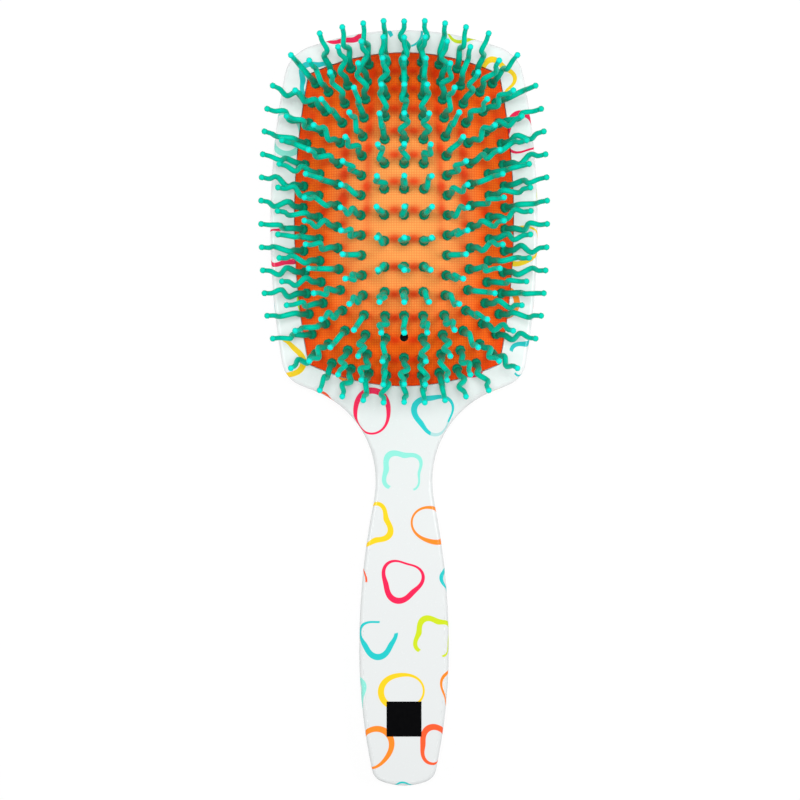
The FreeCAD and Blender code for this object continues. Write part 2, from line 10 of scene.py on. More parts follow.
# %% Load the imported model
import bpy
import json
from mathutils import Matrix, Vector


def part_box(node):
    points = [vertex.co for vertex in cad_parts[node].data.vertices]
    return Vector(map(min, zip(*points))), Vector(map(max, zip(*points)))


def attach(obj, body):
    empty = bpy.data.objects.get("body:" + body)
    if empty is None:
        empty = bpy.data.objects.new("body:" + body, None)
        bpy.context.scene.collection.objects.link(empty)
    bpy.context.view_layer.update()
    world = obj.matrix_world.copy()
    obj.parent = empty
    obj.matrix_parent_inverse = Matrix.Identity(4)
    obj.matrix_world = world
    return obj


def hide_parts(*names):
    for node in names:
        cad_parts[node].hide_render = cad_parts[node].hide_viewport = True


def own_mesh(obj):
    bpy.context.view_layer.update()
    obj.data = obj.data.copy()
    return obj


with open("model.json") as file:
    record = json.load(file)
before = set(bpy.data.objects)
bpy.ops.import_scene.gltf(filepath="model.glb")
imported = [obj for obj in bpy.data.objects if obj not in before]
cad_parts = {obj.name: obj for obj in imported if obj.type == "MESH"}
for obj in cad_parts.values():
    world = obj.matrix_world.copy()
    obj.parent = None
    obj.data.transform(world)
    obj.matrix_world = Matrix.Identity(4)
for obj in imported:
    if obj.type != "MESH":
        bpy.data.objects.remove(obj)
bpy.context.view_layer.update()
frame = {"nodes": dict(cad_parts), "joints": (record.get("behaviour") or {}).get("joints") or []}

# %% [markdown]
# ## Tools and units
# Plan sizes are given in millimetres, as on a drawing, because 35.6 is easier to read than 0.0356.
# They are turned into metres as each mesh is made. The levels of the body and of the cushion are
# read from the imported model, so the pieces made here fit it without any trying.

# %% Tools and units
import json
import math

import bpy
import numpy as np
from mathutils import Vector

MM = 0.001


def corners(node):
    """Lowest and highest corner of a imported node, in millimetres."""
    return [np.array(corner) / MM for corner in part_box(node)]


BACK_FACE = corners("back_shell")[0][2]
RIM = corners("front_shell")[1][2]
CUSHION_FOOT = corners("cushion")[0][2]
CUSHION_TOP = corners("cushion")[1][2]
print("levels in mm: back %.1f, cushion foot %.1f, rim %.1f, cushion top %.1f" % (
    BACK_FACE, CUSHION_FOOT, RIM, CUSHION_TOP))

# %% [markdown]
# ## One way to make a mesh
# A surface is a grid of points with rows and columns. Neighbouring points make four-sided faces, and
# a closed row joins its last point to its first. Several grids can go into one mesh, so that a piece
# stays a single object. Blender's own shapes would need joining and cutting to get there; a grid of
# numbers comes out whole.

# %% Grids into meshes
def grid_faces(rows, columns, wrap_columns=False, first=0):
    """Corner numbers of the faces of a grid: point (r, c) has number first + r * columns + c."""
    r = np.arange(rows - 1)[:, None]
    c = np.arange(columns if wrap_columns else columns - 1)[None, :]
    c_next = (c + 1) % columns
    quads = np.stack(np.broadcast_arrays(
        r * columns + c, r * columns + c_next, (r + 1) * columns + c_next, (r + 1) * columns + c), axis=-1)
    return quads.reshape(-1, 4) + first


def smooth_step(values, low, high):
    """0 below low, 1 above high, 3 t^2 - 2 t^3 between."""
    t = np.clip((values - low) / (high - low), 0, 1)
    return t * t * (3 - 2 * t)


def new_piece(name, points_mm, faces, material, attributes=None, smooth=True):
    """A mesh object from points in millimetres and lists of corner numbers, with named values at its points."""
    mesh = bpy.data.meshes.new(name)
    mesh.from_pydata((np.asarray(points_mm) * MM).tolist(), [], [list(map(int, face)) for face in faces])
    mesh.polygons.foreach_set("use_smooth", np.full(len(mesh.polygons), smooth))
    for key, values in (attributes or {}).items():
        layer = mesh.attributes.new(key, "FLOAT", "POINT")
        layer.data.foreach_set("value", np.asarray(values, dtype=np.float32))
    mesh.materials.append(material)
    mesh.update()
    piece = bpy.data.objects.new(name, mesh)
    bpy.context.scene.collection.objects.link(piece)
    print("%s: %d points, %d faces" % (name, len(mesh.vertices), len(mesh.polygons)))
    return piece


print("a grid of 3 by 4 points has", len(grid_faces(3, 4)), "faces, or", len(grid_faces(3, 4, True)), "when closed")

# %% [markdown]
# ## Colours
# A colour card gives numbers from 0 to 255 as a screen shows them. Shaders count in light, where
# twice the number is twice the light, so each number is bent by the standard curve first.

# %% Colours
def colour(red, green, blue):
    """Linear colour from 0..255 numbers: v / 12.92 near black, else ((v + 0.055) / 1.055) to the power 2.4."""
    def linear(value):
        value = value / 255
        return value / 12.92 if value <= 0.04045 else ((value + 0.055) / 1.055) ** 2.4
    return (linear(red), linear(green), linear(blue), 1.0)


print("middle grey 128 is %.3f of full light" % colour(128, 128, 128)[0])

# %% [markdown]
# ## Shader maths as expressions
# A material is a net of nodes, but a formula is easier to read than a net. This class wraps one
# socket and turns + - * / into Math nodes, so a pattern reads as it would on paper. The reflected
# forms, such as __rsub__, are what Python calls for 1 - mask, where the number comes first.

# %% A socket that does arithmetic
def ramp_stops(ramp, tints):
    """Sets a ramp to equal steps of the given colours."""
    ramp.interpolation = "CONSTANT"
    for index, tint in enumerate(tints):
        stop = ramp.elements[index] if index < 1 else ramp.elements.new(index / len(tints))
        stop.color = colour(*tint)
    ramp.elements.remove(ramp.elements[-1])


class Wire:
    """One output socket of a material's nodes, with arithmetic."""

    def __init__(self, tree, socket):
        self.tree = tree
        self.socket = socket

    def node(self, kind, settings=None, inputs=None, output=0):
        """Adds a node: its type, its settings, then values or wires for its inputs by name or number."""
        made = self.tree.nodes.new(kind)
        for key, value in (settings or {}).items():
            if key == "stops":
                ramp_stops(made.color_ramp, value)
            else:
                setattr(made, key, value)
        for key, value in (inputs or {}).items():
            if isinstance(value, Wire):
                self.tree.links.new(value.socket, made.inputs[key])
            else:
                made.inputs[key].default_value = value
        return Wire(self.tree, made.outputs[output])

    def calculate(self, operation, *values):
        """A Math node on the given values or wires, in their order."""
        return self.node("ShaderNodeMath", {"operation": operation}, dict(enumerate(values)))

    def math(self, operation, *others):
        """A Math node whose first value is this wire."""
        return self.calculate(operation, self, *others)

    def __add__(self, other):
        return self.math("ADD", other)

    __radd__ = __add__

    def __sub__(self, other):
        return self.math("SUBTRACT", other)

    def __rsub__(self, other):
        return self.calculate("SUBTRACT", other, self)

    def __mul__(self, other):
        return self.math("MULTIPLY", other)

    __rmul__ = __mul__

    def __truediv__(self, other):
        return self.math("DIVIDE", other)

    def __rtruediv__(self, other):
        return self.calculate("DIVIDE", other, self)

    def step(self, low, high):
        """0 below low, 1 above high, smooth between."""
        return self.node("ShaderNodeMapRange", {"interpolation_type": "SMOOTHSTEP"},
                         {"Value": self, "From Min": low, "From Max": high})

    def blend(self, first, second):
        """The colour first where this wire is 0 and second where it is 1."""
        return self.node("ShaderNodeMix", {"data_type": "RGBA"}, {0: self, 6: first, 7: second}, 2)


trial = bpy.data.materials.new("trial")
trial.use_nodes = True
mask = Wire(trial.node_tree, trial.node_tree.nodes.new("ShaderNodeValue").outputs[0])
count_before = len(trial.node_tree.nodes)
1 - mask * 2
print("1 - mask * 2 makes %d Math nodes" % (len(trial.node_tree.nodes) - count_before))
bpy.data.materials.remove(trial)

# %% [markdown]
# ## Helpers for materials
# Every finish here starts from the Principled shader and from the place of each point on its object.
# Soft noise and a bump made from it give a surface its grain. Values that are the same everywhere are
# set on the shader itself, and only what changes over the surface goes through nodes.

# %% Helpers for materials
def new_material(name, **settings):
    """A material with one Principled shader: returns it with the shader and the wire of each point's place."""
    material = bpy.data.materials.new(name)
    material.use_nodes = True
    tree = material.node_tree
    shader = tree.nodes["Principled BSDF"]
    for key, value in settings.items():
        shader.inputs[key.replace("_", " ")].default_value = value
    place = tree.nodes.new("ShaderNodeTexCoord")
    print("material", name)
    return material, shader, Wire(tree, place.outputs["Object"])


def plug(wire, shader, socket):
    """Leads a wire into one of the shader's sockets."""
    wire.tree.links.new(wire.socket, shader.inputs[socket])


def axes_of(place):
    """The X, Y and Z wires of a position."""
    return [place.node("ShaderNodeSeparateXYZ", None, {0: place}, index) for index in range(3)]


def outward_of(place):
    """The X, Y and Z wires of the direction in which the surface faces."""
    return axes_of(place.node("ShaderNodeTexCoord", output="Normal"))


def noise(place, scale, detail=2.0):
    """Smooth random values 0..1 at so many lumps per metre."""
    return place.node("ShaderNodeTexNoise", {"noise_dimensions": "3D"}, {
        "Vector": place, "Scale": scale, "Detail": detail})


def bump(height, distance):
    """Turns a height 0..1 into a bumpy normal; distance is the real height of 1 in metres."""
    return height.node("ShaderNodeBump", None, {"Height": height, "Distance": distance})


print("helpers: new_material, plug, axes_of, outward_of, noise, bump")

# %% [markdown]
# ## A print of open shapes
# The body carries a playful print: open outlines in bright inks, drawn with a line that runs from
# thick to thin, as a brush pen draws. It could be an image wrapped round the body, but an image has
# only so much detail, and a formula stays sharp at any distance. The surface is divided into
# staggered cells with one motif in each. Round a cell's middle the outline is r (1 + a cos(n angle)):
# two lobes make an oval, three a rounded triangle and four a rounded square. Row and column choose
# the lobes and the ink, and white noise shifts and turns each motif.
# On the side walls the print would smear into stripes if it were read straight from above. So each
# point is moved outwards by its drop below the face before the print is read, which folds the print
# over the edge like foil.

# %% Print
MOTIF_PITCH = 19.5
ROW_PITCH = 18.0
MOTIF_RADIUS = 6.0
DRIFT_ACROSS, DRIFT_ALONG = 3.0, 1.5
SIZE_SPREAD = 0.8
LOBE_HEIGHT = 0.13
HALF_LINE, LINE_SWELL = 0.68, 0.34
INK_EDGE = 0.06
GAP_ANGLE = 2.4
INKS = [(232, 0, 74), (240, 200, 0), (0, 190, 190), (242, 130, 12), (196, 214, 0), (238, 84, 30), (135, 220, 205)]


def printed(place, plain, level):
    """The plain colour with one outline of ink in each cell, folded over the edge of the face at this level."""
    x, y, z = axes_of(place)
    outward_x, outward_y, _ = outward_of(place)
    drop = (z - level * MM).math("ABSOLUTE")
    across = (x + outward_x * drop) / (MOTIF_PITCH * MM)
    along = (y + outward_y * drop) / (ROW_PITCH * MM)
    row = along.math("FLOOR")
    shift = (row * 0.5).math("FRACT")
    column = (across + shift).math("FLOOR")
    cell = place.node("ShaderNodeCombineXYZ", None, {0: column, 1: row})
    chance = cell.node("ShaderNodeTexWhiteNoise", {"noise_dimensions": "2D"}, {"Vector": cell}, 1)
    chance_x, chance_y, chance_turn = axes_of(chance)
    u = (across + shift - column - 0.5) * MOTIF_PITCH + (chance_x - 0.5) * DRIFT_ACROSS
    v = (along - row - 0.5) * ROW_PITCH + (chance_y - 0.5) * DRIFT_ALONG
    radius = (u * u + v * v).math("SQRT")
    angle = v.math("ARCTAN2", u) + chance_turn * (2 * math.pi)
    lobes = (column + row * 2).math("FLOORED_MODULO", 3.0) + 2.0
    middle_line = chance_x * SIZE_SPREAD + MOTIF_RADIUS - SIZE_SPREAD / 2
    outline = ((angle * lobes).math("COSINE") * LOBE_HEIGHT + 1.0) * middle_line
    half_line = angle.math("COSINE") * LINE_SWELL + HALF_LINE
    ink = 1 - ((radius - outline).math("ABSOLUTE") - half_line).step(-INK_EDGE, INK_EDGE)
    gap = (angle - GAP_ANGLE).math("COSINE").step(0.80, 0.84) * chance_y.step(0.5, 0.51)
    number = (column * 2 + row * 3).math("FLOORED_MODULO", float(len(INKS)))
    picked = number.node("ShaderNodeValToRGB", {"stops": INKS}, {0: (number + 0.5) / len(INKS)})
    return (ink * (1 - gap)).blend(plain, picked)


print("%d inks, one motif in every %.1f x %.1f mm" % (len(INKS), MOTIF_PITCH, ROW_PITCH))

# %% [markdown]
# ## White gloss plastic
# The body is moulded in white plastic with a polished face. Real gloss mouldings are never perfectly
# flat: they have a faint long ripple that bends reflections, a very fine grain, and a tint that
# drifts a little from place to place. All three come from soft noise. A plain white with one
# roughness would be quicker, and would look like paper. The head is painted a shade lighter than the
# handle, a painted light for the light that the overhanging pins keep off its rim. Inside the hollow,
# where the plastic faces up, it is painted dark: a painted shade for the closed hollow, as seen
# through the cushion's vent.

# %% Gloss plastic
# painted light: the head is painted a shade whiter than the handle, for light that the pins keep off the rim;
# metres along the brush where this painted light comes in
HEAD_PAINTED_LIGHT = 14
PAINTED_LIGHT_STARTS = (-0.062, -0.045)
TINT_DRIFT = 4
# painted shade for the closed hollow inside the body
INSIDE_PAINTED_SHADE = (12, 12, 13)


def gloss_plastic(name, tint, roughness, print_level=None, painted_shade_inside=False):
    """White plastic, painted lighter on the head, printed on if the level of its face is given, and painted dark as
    shade where an inside faces up.
    """
    material, shader, place = new_material(
        name, IOR=1.5, Coat_Weight=0.2, Coat_Roughness=0.05, Specular_IOR_Level=0.35)
    cloud = noise(place, 22.0, 3.0)
    base = cloud.blend(colour(*[value - TINT_DRIFT for value in tint]), colour(*tint))
    # painted light: the head is painted lighter than the handle
    head = axes_of(place)[1].step(*PAINTED_LIGHT_STARTS)
    base = head.blend(base, colour(*[value + HEAD_PAINTED_LIGHT for value in tint]))
    if print_level is not None:
        base = printed(place, base, print_level)
    # painted shade: insides that face up are painted dark
    if painted_shade_inside:
        upward = outward_of(place)[2]
        base = upward.step(0.5, 0.9).blend(base, colour(*INSIDE_PAINTED_SHADE))
    plug(base, shader, "Base Color")
    plug(noise(place, 900.0, 2.0) * 0.08 + roughness, shader, "Roughness")
    ripple = noise(place, 45.0, 1.0) + noise(place, 2600.0, 1.0) * 0.02
    plug(bump(ripple, 0.00006), shader, "Normal")
    return material


# the painted light on the head, in steps of 255
print("the head is %d steps of 255 whiter than the handle" % HEAD_PAINTED_LIGHT)

# %% [markdown]
# ## The body in its finish
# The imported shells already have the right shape, so they stay and only get a new finish. Remaking
# them here could only bring errors. Front and back each fold the print from their own face. The frame
# that clamps the rubber sits inside, so it is plain and less glossy.

# %% Body
BODY_TINT = (216, 219, 219)
FRAME_TINT = (219, 220, 219)
GLOSS, SATIN = 0.22, 0.4


def dress(node, material):
    """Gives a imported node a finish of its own."""
    slots = frame["nodes"][node].data.materials
    slots.clear()
    slots.append(material)
    print(node, "wears", material.name)


front_white = gloss_plastic("front_white", BODY_TINT, GLOSS, RIM)
back_white = gloss_plastic("back_white", BODY_TINT, GLOSS, BACK_FACE, painted_shade_inside=True)
frame_white = gloss_plastic("frame_white", FRAME_TINT, SATIN)
dress("back_shell", back_white)
dress("front_shell", front_white)
dress("cushion_frame", frame_white)

# %% [markdown]
# ## Badge plate
# The square on the handle is a thin satin plate, let into a pocket. It is left blank. A satin finish
# is a middling roughness with fine grain: with less roughness the plate would mirror the lamps, with
# more it would look like felt.

# %% Badge
badge_black, badge_shader, badge_place = new_material("badge_black", IOR=1.48, Specular_IOR_Level=0.02)
plug(noise(badge_place, 700.0, 3.0).blend(colour(2, 2, 3), colour(9, 9, 10)), badge_shader, "Base Color")
plug(noise(badge_place, 4000.0, 2.0) * 0.15 + 0.32, badge_shader, "Roughness")
plug(bump(noise(badge_place, 5200.0, 1.0), 0.00001), badge_shader, "Normal")
dress("handle_badge", badge_black)

# %% [markdown]
# ## The dome of the rubber cushion
# The cushion is a stretched sheet that air holds up. Across and along it has the same kind of
# profile: a curve that steepens as far as a knee, and then a straight flank down to the edge. Where
# two flanks meet there is a soft hip, as on a roof. A cloth simulation could blow up a flat sheet,
# but the rubber is moulded and tight, and its shape has to be known exactly where each pin stands.
# So the height is a formula. It joins the two profiles with a power mean: it falls to nothing all
# round the edge, and the top stays smooth.

# %% Dome formula
WINDOW_HALF_WIDTH = 35.6
WINDOW_HALF_LENGTH = 54.1
WINDOW_CORNER_ACROSS = 31.0
WINDOW_CORNER_ALONG = 47.0
EDGE_GAP = 0.2
DOME_EDGE = RIM - 0.5
DOME_HEIGHT = CUSHION_TOP - DOME_EDGE
KNEE = 0.78
POWER = 2.3


def flank(share):
    """Fall of the dome at a share of its half width: knee/power (s/knee)^power, then s - knee, over the whole."""
    share = np.abs(share)
    curve = KNEE / POWER * (np.minimum(share, KNEE) / KNEE) ** POWER
    straight = np.maximum(share - KNEE, 0)
    return (curve + straight) / (KNEE / POWER + 1 - KNEE)


def rise(across, along):
    """Share of the dome's height: (a^-2 + b^-2 - 1)^-1/2 of what both flanks leave."""
    side = np.maximum(1 - flank(across), 1e-9)
    end = np.maximum(1 - flank(along), 1e-9)
    return (side ** -2 + end ** -2 - 1) ** -0.5


print("dome %.1f mm high, half way out it is at %.0f%%" % (DOME_HEIGHT, 100 * rise(0.5, 0.0)))

# %% [markdown]
# ## From the window's shape to the dome's shares
# The window is not a rectangle: each side bows out a little. A point of the sheet is given by two
# shares from -1 to 1, and the bow of each side is a parabola of the other share. For a pin the place
# is known and the shares are not. They are found by correcting a guess until it fits, which is
# simpler than turning the formula round.

# %% Places and shares
def bowed_place(across, along, inset=EDGE_GAP):
    """Plan position for shares -1..1: each side bows out by a parabola of the other share."""
    half_width = WINDOW_HALF_WIDTH - inset
    half_length = WINDOW_HALF_LENGTH - inset
    side_bow = 1 - (WINDOW_CORNER_ACROSS - inset) / half_width
    end_bow = 1 - (WINDOW_CORNER_ALONG - inset) / half_length
    return across * half_width * (1 - side_bow * along ** 2), along * half_length * (1 - end_bow * across ** 2)


def shares_at(x, y):
    """The shares of a plan position: 30 times the remaining miss, over the half size, is added to the guess."""
    across, along = np.zeros_like(x), np.zeros_like(y)
    for _ in range(30):
        at_x, at_y = bowed_place(across, along)
        across = across + (x - at_x) / WINDOW_HALF_WIDTH
        along = along + (y - at_y) / WINDOW_HALF_LENGTH
    return across, along


def rubber_height(x, y):
    """Height of the rubber's outer face over a plan position."""
    return DOME_EDGE + DOME_HEIGHT * rise(*shares_at(x, y))


print("rubber at the middle: %.2f mm above the table" % rubber_height(np.zeros(1), np.zeros(1))[0])

# %% [markdown]
# ## Where the pins stand
# Pins stand in eleven columns that bow with the sides of the head. Each column is worked out from
# its place, its bow, its reach, its number of pins and how much closer they stand towards the ends.
# Six short rows of numbers hold the whole pattern, and mirror it for the other side. A list of 168
# places would be long, and nobody could tell a wrong one. One place in the middle column is an air
# vent and not a pin.

# %% Columns of pins
# distance from the middle, bow, reach, number of pins, crowding towards the ends
COLUMNS = [
    (0.0, 0.0, 50.2, 15, 0.145),
    (6.24, 0.10, 50.3, 15, 0.145),
    (13.6, 0.20, 49.5, 17, 0.02),
    (21.1, 0.24, 48.2, 16, 0.05),
    (27.1, 0.196, 46.4, 15, 0.05),
    (32.3, 0.19, 43.5, 14, 0.04),
]
VENT_ROW = 12


def layout():
    """Plan positions and which one is the vent: y = reach s (1 + c - c s^2), x = place (1 - bow (y / length)^2)."""
    places, vents = [], []
    for number, (place, bow, reach, count, crowding) in enumerate(COLUMNS):
        for side in ((1,) if number == 0 else (-1, 1)):
            share = np.linspace(1, -1, count)
            y = reach * share * (1 + crowding - crowding * share ** 2)
            x = side * place * (1 - bow * (y / WINDOW_HALF_LENGTH) ** 2)
            places.append(np.stack([x, y], axis=-1))
            vents += [number == 0 and row == VENT_ROW for row in range(count)]
    return np.concatenate(places), np.array(vents)


pin_plan, is_vent = layout()
pin_x, pin_y = pin_plan[:, 0], pin_plan[:, 1]
print("pins:", np.count_nonzero(~is_vent), "and vents:", np.count_nonzero(is_vent))

# %% [markdown]
# ## How each pin leans, and what it rides on
# A pin stands square to the rubber under it and leans a little more. The slope of the rubber is
# measured by stepping a little to each side, as one would with a level. Pins of like height form a
# band, because a band sinks as one when the cushion is pressed: the higher on the dome, the deeper.
# A turn by the golden angle from pin to pin keeps the waves of neighbours from lining up.

# %% Lean and bands
PIN_SPLAY = 1.12
SEAT_GAP = 0.25
GOLDEN_TURN = 137.508
BANDS = ["border", "edge", "outer", "middle", "inner", "crown"]
STEP = 0.05


def directions(slope_x, slope_y):
    """Unit vectors square to the given slopes: (-sx, -sy, 1) over its length."""
    upright = np.stack([-slope_x, -slope_y, np.ones_like(slope_x)], axis=-1)
    return upright / np.linalg.norm(upright, axis=1)[:, None]


slope_x = (rubber_height(pin_x + STEP, pin_y) - rubber_height(pin_x - STEP, pin_y)) / (2 * STEP)
slope_y = (rubber_height(pin_x, pin_y + STEP) - rubber_height(pin_x, pin_y - STEP)) / (2 * STEP)
pin_lean = directions(slope_x * PIN_SPLAY, slope_y * PIN_SPLAY)
pin_foot = np.stack([pin_x, pin_y, rubber_height(pin_x, pin_y)], axis=-1)
pin_root = pin_foot + directions(slope_x, slope_y) * SEAT_GAP
pin_rise = (pin_foot[:, 2] - DOME_EDGE) / DOME_HEIGHT
pin_band = np.minimum((pin_rise * len(BANDS)).astype(int), len(BANDS) - 1)
pin_face = np.where(np.abs(slope_x) > np.abs(slope_y),
                    np.where(pin_x < 0, "left", "right"), np.where(pin_y < 0, "bottom", "top"))
pin_turn = np.radians(np.arange(len(pin_x)) * GOLDEN_TURN)
print("pins in each band:", dict(zip(BANDS, np.bincount(pin_band[~is_vent]).tolist())))
print("steepest lean %.0f degrees" % np.degrees(np.arccos(pin_lean[:, 2].min())))

# %% [markdown]
# ## Puckers between the pins
# Pressing thick pins through a sheet draws it together: between neighbouring pins it sinks a little.
# The rubber there is also painted a deeper red, a painted shadow for the shadows that the pins cast
# between them. In the middle a pucker lies half way between two columns. Further out it lies close to
# the outer pin. Along two of the outer columns, small puckers run together into a shallow furrow in
# the half away from the handle. Each is a bell curve, wider across than along, or the other way round
# in a furrow. The painted shadow alone would do from above, but the real dents also show from the
# side and in the mesh.

# %% Puckers
PUCKER_DEPTH = 0.2
PUCKER_REACH = 11.5
# strength, and radii across and along
MIDDLE_PUCKER = (1.15, 1.5, 1.0)
OUTER_PUCKER = (0.7, 1.2, 1.0)
FURROW_PUCKER = (0.36, 0.95, 1.5)
FURROW_COLUMNS = (2, 3)
FURROW_SHIFT = 1.9
FURROW_PARTS = (0.2, 0.5, 0.8)
FURROW_STARTS = (-12.0, 8.0)
# share of the way to the outer pin, for the middle column and for the others
MIDDLE_SHARE, OUTER_SHARE = 0.5, 0.8
# puckers lie beyond the line between their pins: at the middle, more for each mm, least and most
SHIFT, SHIFT_PER_MM, SHIFT_LEAST, SHIFT_MOST = 1.6, 0.1, -0.8, 3.0


def with_kind(places, kind):
    """Each place followed by its strength and two radii."""
    return np.column_stack([places, np.tile(kind, (len(places), 1))])


def furrow_rows(outer, side):
    """Puckers at parts of the way from pin to pin, just inside a column, that fade in along the furrow."""
    rows = []
    for part in FURROW_PARTS:
        furrow = outer[1:] * part + outer[:-1] * (1 - part) - [side * FURROW_SHIFT, 0]
        row = with_kind(furrow, FURROW_PUCKER)
        row[:, 2] *= smooth_step(furrow[:, 1], *FURROW_STARTS)
        rows.append(row)
    return rows


def pucker_places():
    """Rows of x, y, strength and two radii: a share of the way between columns, and along the furrows."""
    column = np.concatenate([np.full(count * (1 if number == 0 else 2), number)
                             for number, (_, _, _, count, _) in enumerate(COLUMNS)])
    rows = []
    for number in range(len(COLUMNS) - 1):
        for side in (-1, 1):
            inner = pin_plan[(column == number) & ((number == 0) | (pin_x * side > 0))]
            outer = pin_plan[(column == number + 1) & (pin_x * side > 0)]
            gap = np.linalg.norm(inner[:, None] - outer[None], axis=-1)
            nearest = outer[gap.argmin(axis=1)]
            share, kind = (MIDDLE_SHARE, MIDDLE_PUCKER) if number == 0 else (OUTER_SHARE, OUTER_PUCKER)
            middle = (inner + (nearest - inner) * share)[gap.min(axis=1) < PUCKER_REACH]
            middle[:, 1] += np.clip(SHIFT + SHIFT_PER_MM * middle[:, 1], SHIFT_LEAST, SHIFT_MOST)
            rows.append(with_kind(middle, kind))
            if number + 1 in FURROW_COLUMNS:
                rows += furrow_rows(outer, side)
    return np.concatenate(rows)


def pucker(x, y):
    """Depth of the puckers 0..1: the sum of strength exp(-(dx / rx)^2 / 2 - (dy / ry)^2 / 2)."""
    total = np.zeros_like(x)
    for middle_x, middle_y, strength, radius_x, radius_y in pucker_places():
        total += strength * np.exp(-((x - middle_x) / radius_x) ** 2 / 2 - ((y - middle_y) / radius_y) ** 2 / 2)
    return np.minimum(total, 1)


print("puckers:", len(pucker_places()))

# %% [markdown]
# ## Woven-grain rubber
# The rubber carries the print of the cloth it was pressed against: a fine square grid with a pitch of
# under a millimetre. Each set of ribs is a cosine wave, and the grid is the larger of the two. Light
# is painted into the colour: the top is painted a light warm orange, a painted sheen of the lamp
# overhead, and low on the flanks it is painted a red orange, a painted shade for the light that the
# pins keep off. The puckers are painted red as well, a painted shadow of the pins. The depth of a
# pucker comes with the mesh, so colour and dent always agree.

# %% Cushion material
WEAVE_PITCH = 0.0008
# painted light: the crown colour is a painted sheen of the lamp overhead, the flank colour a painted shade
CROWN_SHEEN_ORANGE, SHOULDER_ORANGE, FLANK_SHADE_ORANGE = (246, 170, 90), (255, 112, 18), (255, 74, 6)
# painted shadow: the pucker red stands for the shadows the pins cast between them
CLOUD_ORANGE, PUCKER_SHADOW_RED, GROOVE_RED = (255, 96, 16), (232, 40, 2), (234, 62, 8)
CLOUD_SHARE, PUCKER_SHADOW_SHARE, GROOVE_SHARE, GROOVE_FADE = 0.22, 0.86, 0.62, 0.22


def cushion_rubber():
    """Orange rubber with a printed cloth grain: painted lighter on the top for sheen, painted redder low on the
    flanks for shade, and painted red in the puckers for the pins' shadows.
    """
    material, shader, place = new_material("cushion_rubber", IOR=1.5, Specular_IOR_Level=0.12)
    x, y, z = axes_of(place)
    turn = 2 * math.pi / WEAVE_PITCH
    ribs_x = (x * turn).math("COSINE") * 0.5 + 0.5
    ribs_y = (y * turn).math("COSINE") * 0.5 + 0.5
    height = (z - DOME_EDGE * MM) / (DOME_HEIGHT * MM)
    top = height.step(0.4, 1.0)
    depth = place.node("ShaderNodeAttribute", {"attribute_name": "pucker"}, None, 2)
    # painted light: lighter on the top for sheen, red orange low on the flanks for shade
    base = height.step(0.0, 0.3).blend(
        colour(*FLANK_SHADE_ORANGE), top.blend(colour(*SHOULDER_ORANGE), colour(*CROWN_SHEEN_ORANGE)))
    base = (noise(place, 160.0, 3.0) * CLOUD_SHARE).blend(base, colour(*CLOUD_ORANGE))
    # painted shadow: the puckers are painted red for the pins' shadows
    base = (depth * PUCKER_SHADOW_SHARE).blend(base, colour(*PUCKER_SHADOW_RED))
    grooves = (ribs_x.math("MAXIMUM", ribs_y)).step(0.62, 0.98)
    base = (grooves * (GROOVE_SHARE - top * GROOVE_FADE)).blend(base, colour(*GROOVE_RED))
    plug(base, shader, "Base Color")
    plug(noise(place, 1200.0, 2.0) * 0.12 + 0.42, shader, "Roughness")
    plug(bump(noise(place, 3000.0, 2.0) * 0.3 - grooves, 0.00005), shader, "Normal")
    return material


print("a rib every %.1f mm" % (WEAVE_PITCH / MM))

# %% [markdown]
# ## The rubber sheet
# The sheet is a grid of shares across and along, drawn close together near the edge, where the hips
# are sharpest. A second grid lies a sheet's thickness lower, and a wall and a floor between the two
# close the shape. A single surface would be lighter, but it has no thickness to see at the vent and
# makes an open mesh.

# %% Cushion
SHEET = 1.5
GRID_ACROSS, GRID_ALONG = 141, 205
# puckers fade in over this share of the dome's height, so the edge stays smooth
PUCKER_FADE = 0.15
SKIRT = RIM - CUSHION_FOOT


def closing_faces(count_across, count_along, first):
    """The edge ring of a grid, and the wall and floor that lead from it over a foot to the second grid."""
    rows, columns = np.arange(count_along), np.arange(count_across)
    ring = np.concatenate([
        columns[:-1], rows[:-1] * count_across + count_across - 1,
        (count_along - 1) * count_across + columns[:0:-1], rows[:0:-1] * count_across])
    here = np.arange(len(ring))
    following = (here + 1) % len(ring)
    under = ring + count_across * count_along
    wall = np.stack([ring, first + here, first + following, ring[following]], axis=-1)
    floor = np.stack([first + here, under, under[following], first + following], axis=-1)
    return ring, np.concatenate([wall, floor])


def make_cushion():
    """Two grids a sheet apart. Shares are sines of even steps; height is edge + dome rise - pucker depth."""
    across = np.sin(np.linspace(-math.pi / 2, math.pi / 2, GRID_ACROSS))[None, :]
    along = np.sin(np.linspace(-math.pi / 2, math.pi / 2, GRID_ALONG))[:, None]
    across, along = np.broadcast_arrays(across, along)
    share = rise(across, along)
    x, y = bowed_place(across, along)
    sunk = pucker(x, y) * smooth_step(share, 0.0, PUCKER_FADE)
    top = np.stack([x, y, DOME_EDGE + DOME_HEIGHT * share - PUCKER_DEPTH * sunk], axis=-1)
    x, y = bowed_place(across, along, EDGE_GAP + SHEET)
    low = DOME_EDGE - SKIRT / 2
    under = np.stack([x, y, low + (DOME_EDGE + DOME_HEIGHT - SHEET - PUCKER_DEPTH - low) * share], axis=-1)
    count = GRID_ACROSS * GRID_ALONG
    ring, closing = closing_faces(GRID_ACROSS, GRID_ALONG, 2 * count)
    foot = top.reshape(-1, 3)[ring].copy()
    foot[:, 2] = low
    faces = np.concatenate([
        grid_faces(GRID_ALONG, GRID_ACROSS),
        grid_faces(GRID_ALONG, GRID_ACROSS, first=count)[:, ::-1], closing])
    points = np.concatenate([top.reshape(-1, 3), under.reshape(-1, 3), foot])
    depth = np.concatenate([sunk.ravel(), np.zeros(count + len(ring))])
    return new_piece("cushion_sheet", points, faces, cushion_rubber(), {"pucker": depth})


cushion = make_cushion()

